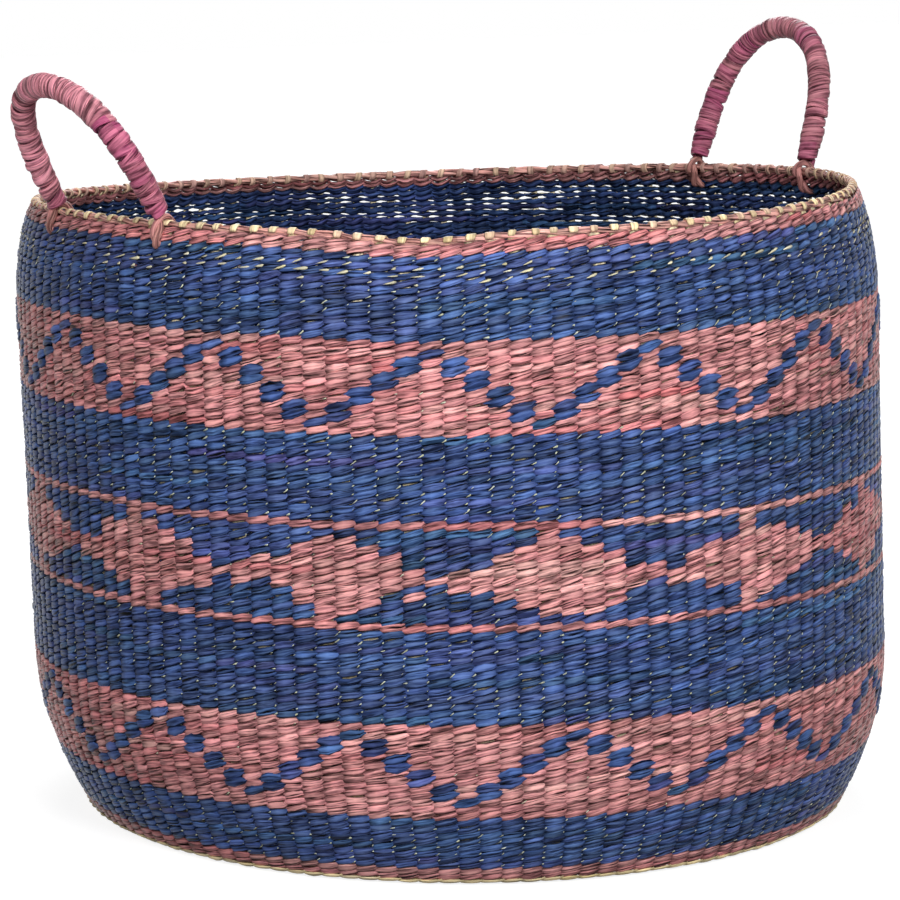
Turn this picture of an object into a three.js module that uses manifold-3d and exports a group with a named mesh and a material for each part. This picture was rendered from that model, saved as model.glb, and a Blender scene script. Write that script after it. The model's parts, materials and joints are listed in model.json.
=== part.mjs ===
// Round twined basket: a soft woven tub with two wound loop handles tied at its rim.
// Millimetres, +Z up. The origin is the middle of the flat base, on the surface the basket stands on.
import * as THREE from 'three';
import Module from 'manifold-3d';

const wasm = await Module();
wasm.setup();

// Sizes of the woven body
const bodyRadius = 224;            // widest outside radius of the wall
const wallThickness = 4.6;         // two weft strands and the warp between them
const baseThickness = 4.6;
const rowPitch = 3.74;             // height of one twined row along the wall
const rimRowPitch = 3.2;           // the rim's two rows are packed tighter
const heelLength = 85;             // length of wall that flares out of the base
const heelFlare = 31;              // degrees from upright where the wall leaves the base
const heelEase = 0.8;              // how soon the flare straightens up
const shoulderLength = 62;         // length of wall that draws in under the rim
const shoulderTilt = 27;           // degrees from upright at the rim, inwards
const baseEdge = 3;                // height of the base's own edge, below the foot band
const baseTurn = 4;                // width of the base's turned-up edge
const rimCordRadius = 1.9;
const seam = 0.3;                  // gap between pieces that touch

// Rows of weft in each band, from the base up
const bands = [
  { name: 'foot_pink_band', rows: 2, colour: 'pink', levels: 1 },
  { name: 'wall_blue_foot', rows: 8, colour: 'blue', levels: 2 },
  { name: 'wall_zigzag_lower', rows: 13, colour: 'pink', levels: 3 },
  { name: 'wall_blue_lower', rows: 12, colour: 'blue', levels: 2 },
  { name: 'wall_pink_line_lower', rows: 1, colour: 'pink', levels: 1 },
  { name: 'wall_diamond_band', rows: 12, colour: 'pink', levels: 1 },
  { name: 'wall_pink_line_upper', rows: 1, colour: 'pink', levels: 1 },
  { name: 'wall_blue_upper', rows: 11, colour: 'blue', levels: 1 },
  { name: 'wall_zigzag_upper', rows: 12, colour: 'pink', levels: 2 },
  { name: 'wall_blue_top', rows: 11, colour: 'blue', levels: 3 },
  { name: 'rim_pink_band', rows: 2, pitch: rimRowPitch, colour: 'pink', levels: 1 },
];

// A hand-made basket leans a little, and its rim rises and dips around the mouth
const leanAtRim = 11;
const leanBearing = 142.8;
const rimSlope = 5.9;              // how far the rim rises on one side and drops on the other
const rimSag = 3;                  // how far it rises twice and drops twice on its way round
const rimWaves = [
  { count: 1, rise: rimSlope, bearing: -78.7 },
  { count: 2, rise: rimSag, bearing: 159.6 },
];
const rimDipDepth = 3.7;
const rimDip = { depth: rimDipDepth, bearing: -130.3, width: 9 };
const waveReach = 130;             // how far down the wall the rim's wave is felt

// Handles: a rope arch wound with strip, with an eye at each foot that hangs on a tie
const lowFootSpacing = 90;
const lowArchHeight = 75.5;
const tallFootSpacing = 92;
const tallArchHeight = 81.5;
const handles = [
  { name: 'handle_a', bearing: 181.5, footSpacing: lowFootSpacing, archHeight: lowArchHeight, lean: 29 },
  { name: 'handle_b', bearing: -1.6, footSpacing: tallFootSpacing, archHeight: tallArchHeight, lean: 19 },
];
const archFullness = 3.2;          // above 2 the arch has squarer shoulders than an ellipse
const coreRadius = 4.3;
const eyeCordRadius = 1.2;
const tieRadius = 1.8;
const windingThickness = 1.8;
const windingLoops = 22;
const windingGap = 0.8;            // between one turn and the next, along the arch
const coreFit = 0.55;              // from the core to the winding around it
const footFit = 0.6;               // from the eye's top to the first turn
const eyeFit = 0.45;               // from the tie to the eye around it
const rimFit = 0.8;                // from the rim cord to the eye that swings over it
const stripFlat = 0.75;            // share of the strip's width that lies flat, between its thin edges

// How finely round things are cut
const bodySides = 60;
const cordSides = 8;
const coreSides = 8;
const coreSteps = 32;
const thinCordSides = 6;
const eyeSteps = 14;
const bightSteps = 16;
const turnSteps = 10;
const stepsPerLoop = 12;

const colours = {
  natural: 0xb9a368,
  pink: 0xb0605c,
  blue: 0x26386f,
  straw: 0xc9b27c,
  mauve: 0x9c4a66,
  tie: 0x95604c,
};

const degrees = Math.PI / 180;

function fibre(name) {
  return new THREE.MeshStandardMaterial({ color: colours[name], roughness: 0.75, metalness: 0 });
}

// The wall's mid-line, from the outside edge of the base up to the rim

const bandLength = (band) => band.rows * (band.pitch ?? rowPitch);
const wallTop = bands.reduce((sum, band) => sum + bandLength(band), baseEdge);
const cordCentre = wallTop + seam + rimCordRadius;

function wallTilt(along) {
  if (along < heelLength) {
    return heelFlare * degrees * (1 - along / heelLength) ** heelEase;
  }
  const shoulder = Math.max(0, along - (wallTop - shoulderLength)) / shoulderLength;
  return -shoulderTilt * degrees * shoulder ** 2;
}

const profileStep = 0.5;
const profile = [{ radius: 0, height: 0 }];
for (let along = 0; along < cordCentre + 2 * rowPitch; along += profileStep) {
  const last = profile[profile.length - 1];
  const tilt = wallTilt(along + profileStep / 2);
  profile.push({
    radius: last.radius + profileStep * Math.sin(tilt),
    height: last.height + profileStep * Math.cos(tilt),
  });
}
const widest = Math.max(...profile.map((point) => point.radius));
const baseRadius = bodyRadius - widest;

function profileAt(along) {
  const place = Math.max(0, along) / profileStep;
  const index = Math.min(profile.length - 2, Math.floor(place));
  const share = place - index;
  const low = profile[index];
  const high = profile[index + 1];
  return {
    radius: baseRadius + low.radius + share * (high.radius - low.radius),
    height: low.height + share * (high.height - low.height),
    tilt: wallTilt(along),
  };
}

const rimHeight = profileAt(cordCentre).height;

function rimRise(bearing) {
  const waves = rimWaves.map((wave) => wave.rise * Math.cos(wave.count * (bearing - wave.bearing) * degrees));
  const turn = ((bearing - rimDip.bearing + 540) % 360) - 180;
  const dip = rimDip.depth * Math.exp(-((turn / rimDip.width) ** 2));
  return waves.reduce((sum, rise) => sum + rise, 0) - dip;
}

// A point of the body: its bearing in degrees, how far along the wall, and how deep below the outside
function placeOnBody(bearing, radius, height, along) {
  const felt = Math.max(0, 1 - (cordCentre - along) / waveReach) ** 2;
  const lean = (leanAtRim * height) / rimHeight;
  return new THREE.Vector3(
    radius * Math.cos(bearing * degrees) + lean * Math.cos(leanBearing * degrees),
    radius * Math.sin(bearing * degrees) + lean * Math.sin(leanBearing * degrees),
    height + felt * rimRise(bearing),
  );
}

function wallPoint(bearing, along, depth) {
  const { radius, height, tilt } = profileAt(along);
  return placeOnBody(bearing, radius - depth * Math.cos(tilt), height + depth * Math.sin(tilt), along);
}

// Solids lofted through closed outlines with the same number of points

function loft(outlines, closed) {
  const positions = outlines.flat().flatMap((point) => [point.x, point.y, point.z]);
  const sides = outlines[0].length;
  const index = [];
  const spans = closed ? outlines.length : outlines.length - 1;
  for (let i = 0; i < spans; i++) {
    const near = i * sides;
    const far = ((i + 1) % outlines.length) * sides;
    for (let j = 0; j < sides; j++) {
      const k = (j + 1) % sides;
      index.push(near + j, near + k, far + k, near + j, far + k, far + j);
    }
  }
  if (!closed) {
    const last = (outlines.length - 1) * sides;
    for (let j = 1; j < sides - 1; j++) {
      index.push(0, j + 1, j, last, last + j, last + j + 1);
    }
  }
  return facingOut(positions, index);
}

function facingOut(positions, index) {
  const corner = (i) => new THREE.Vector3().fromArray(positions, 3 * i);
  let volume = 0;
  for (let i = 0; i < index.length; i += 3) {
    volume += corner(index[i]).dot(corner(index[i + 1]).cross(corner(index[i + 2])));
  }
  if (volume < 0) {
    index.reverse();
  }
  const geometry = new THREE.BufferGeometry();
  geometry.setAttribute('position', new THREE.Float32BufferAttribute(positions, 3));
  geometry.setIndex(index);
  geometry.computeVertexNormals();
  return geometry;
}

function toSolid(geometry, matrix = new THREE.Matrix4()) {
  const placed = geometry.clone().applyMatrix4(matrix);
  return new wasm.Manifold(new wasm.Mesh({
    numProp: 3,
    vertProperties: new Float32Array(placed.attributes.position.array),
    triVerts: new Uint32Array(placed.index.array),
  }));
}

function toGeometry(solid) {
  const mesh = solid.getMesh();
  return facingOut(Array.from(mesh.vertProperties), Array.from(mesh.triVerts));
}

function mesh(name, geometry, material) {
  const part = new THREE.Mesh(geometry, fibre(material));
  part.name = name;
  return part;
}

// Woven bands, the base and the cord at the rim

const bearings = Array.from({ length: bodySides }, (_, i) => (360 * i) / bodySides);

function bandGeometry(low, high, levels) {
  const heights = Array.from({ length: levels + 1 }, (_, i) => low + ((high - low) * i) / levels);
  return loft(bearings.map((bearing) => [
    ...heights.map((along) => wallPoint(bearing, along, 0)),
    ...heights.toReversed().map((along) => wallPoint(bearing, along, wallThickness)),
  ]), true);
}

function ringAt(radius, height) {
  return bearings.map((bearing) => placeOnBody(bearing, radius, height, 0));
}

function baseGeometry() {
  const outside = profileAt(baseEdge - seam / 2);
  const inside = {
    radius: outside.radius - wallThickness * Math.cos(outside.tilt),
    height: outside.height + wallThickness * Math.sin(outside.tilt),
  };
  return loft([
    ringAt(baseRadius - baseTurn, 0),
    ringAt(outside.radius, outside.height),
    ringAt(inside.radius, inside.height),
    ringAt(inside.radius - baseTurn, baseThickness),
  ], false);
}

function rimCordPoint(bearing) {
  return wallPoint(bearing, cordCentre, wallThickness / 2);
}

function rimCordGeometry() {
  return loft(bearings.map((bearing) => {
    const centre = rimCordPoint(bearing);
    return Array.from({ length: cordSides }, (_, j) => {
      const turn = (2 * Math.PI * (j + 0.5)) / cordSides;
      const out = rimCordRadius * Math.cos(turn);
      return new THREE.Vector3(
        centre.x + out * Math.cos(bearing * degrees),
        centre.y + out * Math.sin(bearing * degrees),
        centre.z + rimCordRadius * Math.sin(turn),
      );
    });
  }), true);
}

// Each handle's own frame: x outwards, y along its hinge line through both feet, z up

const bightRadius = rimCordRadius + rimFit + 2 * eyeCordRadius + eyeFit + tieRadius;
const eyeRadius = tieRadius + eyeFit + eyeCordRadius;

function handleFrame(handle) {
  const radius = profileAt(cordCentre).radius - wallThickness / 2;
  const halfAngle = Math.asin(handle.footSpacing / 2 / radius) / degrees;
  const footBearings = [handle.bearing - halfAngle, handle.bearing + halfAngle];
  const feet = footBearings.map(rimCordPoint);
  const y = feet[1].clone().sub(feet[0]);
  const footSpan = y.length();
  y.normalize();
  const x = y.clone().cross(new THREE.Vector3(0, 0, 1)).normalize();
  const z = x.clone().cross(y);
  const matrix = new THREE.Matrix4().makeBasis(x, y, z);
  matrix.setPosition(feet[0].clone().add(feet[1]).multiplyScalar(0.5));
  return { matrix, footBearings, footSpan, axis: y };
}

// The tie is a belt round two circles: the bight over the rim, and the turn through the wall below
function tieRoute(frame, side) {
  const inverse = frame.matrix.clone().invert();
  const slotAlong = wallTop - bandLength(bands[bands.length - 1]);
  const bearing = frame.footBearings[side];
  const wall = wallPoint(bearing, slotAlong, wallThickness / 2).applyMatrix4(inverse);
  const tilt = Math.abs(wallTilt(slotAlong));
  const turnRadius = wallThickness / 2 + tieRadius + rimFit;
  const halfWall = wallThickness / 2 + seam;
  const sag = turnRadius - Math.sqrt(turnRadius ** 2 - halfWall ** 2);
  const drop = halfWall * Math.sin(tilt) + 2 * seam + tieRadius + sag;
  return { x: wall.x, z: wall.z - drop + turnRadius, turnRadius };
}

function tieGeometry(frame, side) {
  const route = tieRoute(frame, side);
  const reach = Math.hypot(route.x, route.z);
  const down = Math.atan2(route.z, route.x);
  const spread = Math.acos((bightRadius - route.turnRadius) / reach);
  const bightArc = { from: down + spread, to: down + 2 * Math.PI - spread };
  const turnArc = { from: down - spread, to: down + spread };
  const centres = [];
  const addArc = (x, z, radius, arc, steps) => {
    for (let i = 0; i <= steps; i++) {
      const turn = arc.from + ((arc.to - arc.from) * i) / steps;
      centres.push({ x: x + radius * Math.cos(turn), z: z + radius * Math.sin(turn), turn });
    }
  };
  addArc(0, 0, bightRadius, bightArc, bightSteps);
  addArc(route.x, route.z, route.turnRadius, turnArc, turnSteps);
  const y = (side * 2 - 1) * frame.footSpan / 2;
  return loft(centres.map((centre) => Array.from({ length: thinCordSides }, (_, j) => {
    const turn = (2 * Math.PI * j) / thinCordSides;
    const out = tieRadius * Math.cos(turn);
    return new THREE.Vector3(
      centre.x + out * Math.cos(centre.turn),
      y + tieRadius * Math.sin(turn),
      centre.z + out * Math.sin(centre.turn),
    );
  })), true);
}

function tieSlot(frame, side) {
  const route = tieRoute(frame, side);
  const bottom = route.z - route.turnRadius - tieRadius - eyeFit;
  const through = 4 * wallThickness;
  const height = 3 * rowPitch;
  const slot = new THREE.BoxGeometry(through, 2 * (tieRadius + eyeFit), height);
  slot.translate(route.x, (side * 2 - 1) * frame.footSpan / 2, bottom + height / 2);
  return boxSolid(slot, frame.matrix);
}

function boxSolid(box, matrix) {
  box.computeBoundingBox();
  const { min, max } = box.boundingBox;
  const corners = (z) => [[min.x, min.y], [max.x, min.y], [max.x, max.y], [min.x, max.y]].map(
    ([x, y]) => new THREE.Vector3(x, y, z));
  return toSolid(loft([corners(min.z), corners(max.z)], false), matrix);
}

// The arch in the handle's plane: y along the hinge line, z away from it

function archPoint(handle, frame, turn) {
  const half = frame.footSpan / 2;
  const rise = Math.max(0, Math.cos(turn)) ** (2 / archFullness);
  return { y: half * Math.sin(turn), z: handle.archHeight * rise };
}

function archLine(handle, frame) {
  const samples = 4000;
  const line = [];
  let along = 0;
  for (let i = 0; i <= samples; i++) {
    const turn = -Math.PI / 2 + (Math.PI * i) / samples;
    const point = archPoint(handle, frame, turn);
    if (i > 0) {
      const last = line[i - 1];
      along += Math.hypot(point.y - last.y, point.z - last.z);
    }
    line.push({ ...point, along });
  }
  return { line, length: along };
}

function archAt(arch, along) {
  const clamped = Math.min(Math.max(along, 0), arch.length);
  let high = arch.line.findIndex((point) => point.along >= clamped);
  high = Math.min(Math.max(high, 1), arch.line.length - 1);
  const a = arch.line[high - 1];
  const b = arch.line[high];
  const share = (clamped - a.along) / (b.along - a.along);
  return { y: a.y + share * (b.y - a.y), z: a.z + share * (b.z - a.z) };
}

function archFrame(arch, along) {
  const reach = 1;
  const centre = archAt(arch, along);
  const before = archAt(arch, along - reach);
  const after = archAt(arch, along + reach);
  const size = Math.hypot(after.y - before.y, after.z - before.z);
  const ty = (after.y - before.y) / size;
  const tz = (after.z - before.z) / size;
  return { centre, tangent: { y: ty, z: tz }, normal: { y: -tz, z: ty } };
}

// A point beside the arch: round it by an angle from the outside of the bend, and out by a radius
function besideArch(arch, along, turn, radius) {
  const { centre, normal } = archFrame(arch, along);
  const out = radius * Math.cos(turn);
  return new THREE.Vector3(
    radius * Math.sin(turn),
    centre.y + out * normal.y,
    centre.z + out * normal.z,
  );
}

const coreStart = bightRadius + tieRadius + eyeFit;
const windingStart = bightRadius + eyeRadius + eyeCordRadius + footFit;

function coreGeometry(frame, arch) {
  const rope = loft(Array.from({ length: coreSteps + 1 }, (_, i) => {
    const along = coreStart + ((arch.length - 2 * coreStart) * i) / coreSteps;
    return Array.from({ length: coreSides }, (_, j) => besideArch(
      arch, along, (2 * Math.PI * (j + 0.5)) / coreSides, coreRadius));
  }), false);
  let solid = toSolid(rope);
  for (const side of [-1, 1]) {
    const eye = loft(Array.from({ length: eyeSteps }, (_, i) => {
      const turn = (2 * Math.PI * i) / eyeSteps;
      return Array.from({ length: thinCordSides }, (_, j) => {
        const roll = (2 * Math.PI * j) / thinCordSides;
        const radius = eyeRadius + eyeCordRadius * Math.cos(roll);
        return new THREE.Vector3(
          eyeCordRadius * Math.sin(roll),
          (side * frame.footSpan) / 2 + radius * Math.sin(turn),
          bightRadius + radius * Math.cos(turn),
        );
      });
    }), true);
    solid = solid.add(toSolid(eye));
  }
  return toGeometry(solid);
}

function windingGeometry(handle, arch) {
  const inner = coreRadius + coreFit;
  const outer = inner + windingThickness;
  const middle = (inner + outer) / 2;
  const wound = arch.length - 2 * windingStart;
  const pitch = (wound + windingGap) / (windingLoops + 1);
  const half = (pitch - windingGap) / 2;
  const flat = half * stripFlat;
  const section = [
    [-half, middle], [-flat, inner], [flat, inner],
    [half, middle], [flat, outer], [-flat, outer],
  ];
  const steps = windingLoops * stepsPerLoop;
  const outlines = Array.from({ length: steps + 1 }, (_, i) => {
    const along = windingStart + half + (pitch * i) / stepsPerLoop;
    const turn = (2 * Math.PI * i) / stepsPerLoop;
    return section.map(([offset, radius]) => besideArch(arch, along + offset, turn, radius));
  });
  printLeastGap(handle, outlines);
  return loft([
    straightEnd(outlines[0], outlines[1]),
    ...outlines,
    straightEnd(outlines[steps], outlines[steps - 1]),
  ], false);
}

// The strip's ends run straight for its own thickness
function straightEnd(end, before) {
  const middle = (outline) => outline.reduce((sum, point) => sum.add(point), new THREE.Vector3())
    .divideScalar(outline.length);
  const step = middle(end).sub(middle(before)).setLength(windingThickness);
  return end.map((point) => point.clone().add(step));
}

// Each outline is measured against those about one loop further on
function printLeastGap(handle, outlines) {
  const window = Math.round(stepsPerLoop / 3);
  let least = Infinity;
  for (let i = 0; i < outlines.length; i++) {
    const first = i + stepsPerLoop - window;
    const last = Math.min(outlines.length, i + stepsPerLoop + window);
    for (let k = first; k < last; k++) {
      for (const here of outlines[i]) {
        for (const there of outlines[k]) {
          least = Math.min(least, here.distanceTo(there));
        }
      }
    }
  }
  console.log(`${handle.name} winding: least gap to itself ${least.toFixed(2)} mm`);
}

// The whole basket

const basket = new THREE.Group();
basket.add(mesh('base_disc', baseGeometry(), 'natural'));

const frames = new Map(handles.map((handle) => [handle, handleFrame(handle)]));

let along = baseEdge;
for (const band of bands) {
  const top = along + bandLength(band);
  let geometry = bandGeometry(along + seam / 2, top - seam / 2, band.levels);
  if (band.name === 'wall_blue_top') {
    let solid = toSolid(geometry);
    for (const frame of frames.values()) {
      solid = solid.subtract(tieSlot(frame, 0)).subtract(tieSlot(frame, 1));
    }
    geometry = toGeometry(solid);
  }
  basket.add(mesh(band.name, geometry, band.colour));
  along = top;
}
basket.add(mesh('rim_cord', rimCordGeometry(), 'pink'));

for (const [handle, frame] of frames) {
  const seat = new THREE.Group();
  seat.applyMatrix4(frame.matrix);
  seat.add(mesh(`${handle.name}_tie_1`, tieGeometry(frame, 0), 'tie'));
  seat.add(mesh(`${handle.name}_tie_2`, tieGeometry(frame, 1), 'tie'));
  const arch = archLine(handle, frame);
  const swing = new THREE.Group();
  swing.rotation.y = handle.lean * degrees;
  swing.add(mesh(`${handle.name}_core`, coreGeometry(frame, arch), 'straw'));
  swing.add(mesh(`${handle.name}_winding`, windingGeometry(handle, arch), 'mauve'));
  seat.add(swing);
  basket.add(seat);
  const pivot = new THREE.Vector3().setFromMatrixPosition(frame.matrix);
  const metres = (vector, scale) => vector.toArray().map((value) => (value * scale).toFixed(5)).join(', ');
  console.log(`${handle.name} hinge: pos_m [${metres(pivot, 0.001)}] axis [${metres(frame.axis, 1)}]`);
}

export default basket;
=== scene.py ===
"""A round twined basket: rows of paired straw strands over upright warps, with two wound handles."""

import json
import math

import bpy
import numpy as np
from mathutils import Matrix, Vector


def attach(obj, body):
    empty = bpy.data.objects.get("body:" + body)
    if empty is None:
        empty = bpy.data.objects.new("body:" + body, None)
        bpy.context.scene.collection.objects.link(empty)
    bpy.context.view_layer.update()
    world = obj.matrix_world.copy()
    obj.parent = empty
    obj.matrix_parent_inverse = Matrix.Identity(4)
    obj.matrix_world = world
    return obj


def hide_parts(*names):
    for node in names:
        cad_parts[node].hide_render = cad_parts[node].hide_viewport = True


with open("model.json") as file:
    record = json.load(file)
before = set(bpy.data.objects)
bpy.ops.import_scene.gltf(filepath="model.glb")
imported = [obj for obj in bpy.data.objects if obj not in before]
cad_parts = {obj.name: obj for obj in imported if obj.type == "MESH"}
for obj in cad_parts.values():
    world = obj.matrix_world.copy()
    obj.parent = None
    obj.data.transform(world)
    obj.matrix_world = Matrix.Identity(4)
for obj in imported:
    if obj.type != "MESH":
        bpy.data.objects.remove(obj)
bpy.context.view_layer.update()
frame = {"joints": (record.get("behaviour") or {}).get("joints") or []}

bl_info = {
    "name": "Round twined basket",
    "version": (1, 0, 0),
    "blender": (4, 5, 0),
    "location": "View3D > Sidebar > Basket",
    "description": "Weaves a round straw basket with pattern bands, a bound rim and wound handles",
    "category": "Object",
}

MM = 0.001
HINGES = {joint["child"]: joint for joint in frame["joints"]}


# Settings

def length(name, description, default):
    return bpy.props.FloatProperty(name=name, description=description, default=default, unit="LENGTH")


def angle(name, description, degrees):
    return bpy.props.FloatProperty(
        name=name, description=description, default=math.radians(degrees), subtype="ANGLE")


def colour(name, description, default):
    return bpy.props.FloatVectorProperty(
        name=name, description=description, default=default, subtype="COLOR")


class BasketShape(bpy.types.PropertyGroup):
    """The outline that the wall and the base are woven to."""

    body_radius: length("Body radius", "Widest outside radius of the wall", 0.224)
    wall_thickness: length("Wall thickness", "Two strands and the warp between them", 0.0046)
    row_pitch: length("Row pitch", "Height of one row along the wall", 0.00374)
    rim_row_pitch: length("Rim row pitch", "Height of one of the tight rows under the rim", 0.0032)
    heel_length: length("Heel length", "Length of wall that flares out of the base", 0.085)
    heel_flare: angle("Heel flare", "Tilt of the wall where it leaves the base", 31)
    heel_ease: bpy.props.FloatProperty(
        name="Heel ease", description="How soon the flare straightens up", default=0.8)
    shoulder_length: length("Shoulder length", "Length of wall that draws in under the rim", 0.062)
    shoulder_tilt: angle("Shoulder tilt", "Tilt of the wall at the rim, inwards", 27)
    base_edge: length("Base edge", "Length of wall that the base's outer row takes", 0.003)
    base_turn: length("Base turn", "Width of the base's turned-up edge", 0.004)
    rim_cord_radius: length("Rim cord radius", "Radius of the cord laid round the rim", 0.0019)
    lean_at_rim: length("Lean", "How far the rim's middle has moved off the base's", 0.011)
    lean_bearing: angle("Lean bearing", "The way the basket leans", 142.8)
    rim_slope: length("Rim slope", "How far the rim rises on one side", 0.0059)
    rim_sag: length("Rim sag", "How far the rim rises twice on its way round", 0.003)
    rim_dip: length("Rim dip", "Depth of the small dip at the front", 0.0037)
    wave_reach: length("Wave reach", "How far down the wall the rim's wave is felt", 0.13)


class WeaveSettings(bpy.types.PropertyGroup):
    """The strands of each row and the warps that they bind."""

    warps: bpy.props.IntProperty(
        name="Warps", description="Upright straws round the basket, an even number", default=130, min=8)
    strand_width: length("Strand width", "Height of a stitch where it crosses a warp", 0.0041)
    strand_thickness: length("Strand thickness", "Thickness of a strand", 0.0018)
    slant: length("Slant", "How far a stitch climbs to each side of its warp", 0.0009)
    warp_width: length("Warp width", "Width of an upright straw", 0.0047)


class StrawColours(bpy.types.PropertyGroup):
    """The dyes of the straw."""

    pink: colour("Pink", "Faded rose weft", (0.42, 0.165, 0.178))
    peach: colour("Peach", "The palest of the rose weft", (0.5, 0.27, 0.255))
    red: colour("Red", "The reddest of the rose weft", (0.36, 0.07, 0.08))
    blue: colour("Blue", "Indigo weft", (0.03, 0.055, 0.17))
    teal: colour("Teal", "The greenest of the indigo weft", (0.036, 0.1, 0.2))
    violet: colour("Violet", "The reddest of the indigo weft", (0.06, 0.052, 0.18))
    straw: colour("Straw", "Undyed warps and base", (0.52, 0.43, 0.26))
    mauve: colour("Mauve", "Faded strip round the handles", (0.38, 0.135, 0.17))
    magenta: colour("Magenta", "The deepest strip round the handles", (0.29, 0.052, 0.125))
    tie: colour("Tie", "Twisted cord of the ties", (0.3, 0.135, 0.115))


class HandleSettings(bpy.types.PropertyGroup):
    """The two wound handles and their ties."""

    low_foot_spacing: length("Low handle's feet", "Distance between its feet", 0.09)
    low_height: length("Low handle's height", "Height of its arch", 0.0755)
    low_lean: angle("Low handle's lean", "How far it leans out", 29)
    tall_foot_spacing: length("Tall handle's feet", "Distance between its feet", 0.092)
    tall_height: length("Tall handle's height", "Height of its arch", 0.0815)
    tall_lean: angle("Tall handle's lean", "How far it leans out", 19)
    arch_fullness: bpy.props.FloatProperty(
        name="Arch fullness", description="Above 2 the arch has squarer shoulders than an ellipse",
        default=3.2)
    tube_radius: length("Tube radius", "Outside radius of a wound handle", 0.0062)
    foot_radius: length("Foot radius", "Outside radius of a wound handle at its feet", 0.005)
    turns: bpy.props.IntProperty(name="Turns", description="Turns of strip on a handle", default=60)
    ply_width: length("Ply width", "Width of each of a tie's two plies", 0.0037)


class StageSettings(bpy.types.PropertyGroup):
    """The camera's place and lens."""

    distance: length("Distance", "From the camera to its target", 2.0)
    azimuth: angle("Azimuth", "Bearing of the camera", -37.25)
    elevation: angle("Elevation", "Height of the camera above the horizon", 9.15)
    target_height: length("Target height", "Height that the camera looks at", 0.1805)
    target_aside: length("Target aside", "How far left of the middle it looks", -0.0039)
    lens: bpy.props.FloatProperty(name="Lens", description="Focal length in millimetres", default=152.1)
    shift: bpy.props.FloatProperty(
        name="Shift", description="Sideways shift of the picture, in widths", default=-0.0086)


# Bands of the wall, from the base up: CAD node, number of rows, pattern, and whether the rows are tight

BANDS = (
    ("foot_pink_band", 2, "pink", False),
    ("wall_blue_foot", 8, "blue", False),
    ("wall_zigzag_lower", 13, "zigzag", False),
    ("wall_blue_lower", 12, "blue", False),
    ("wall_pink_line_lower", 1, "pink", False),
    ("wall_diamond_band", 12, "diamond", False),
    ("wall_pink_line_upper", 1, "pink", False),
    ("wall_blue_upper", 11, "blue", False),
    ("wall_zigzag_upper", 12, "zigzag", False),
    ("wall_blue_top", 11, "blue", False),
    ("rim_pink_band", 2, "pink", True),
)
TOP_ROWS, RIM_ROWS = (rows for _, rows, _, _ in BANDS[-2:])
ROWS_PER_PIECE = 12
FRONT = math.radians(-127)        # the bearing of the widest warps
FIRST_WARP = math.radians(-129.55)
STEEPEST = math.radians(172)      # the bearing at which the stitches slant most


# The outline of the basket

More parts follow.
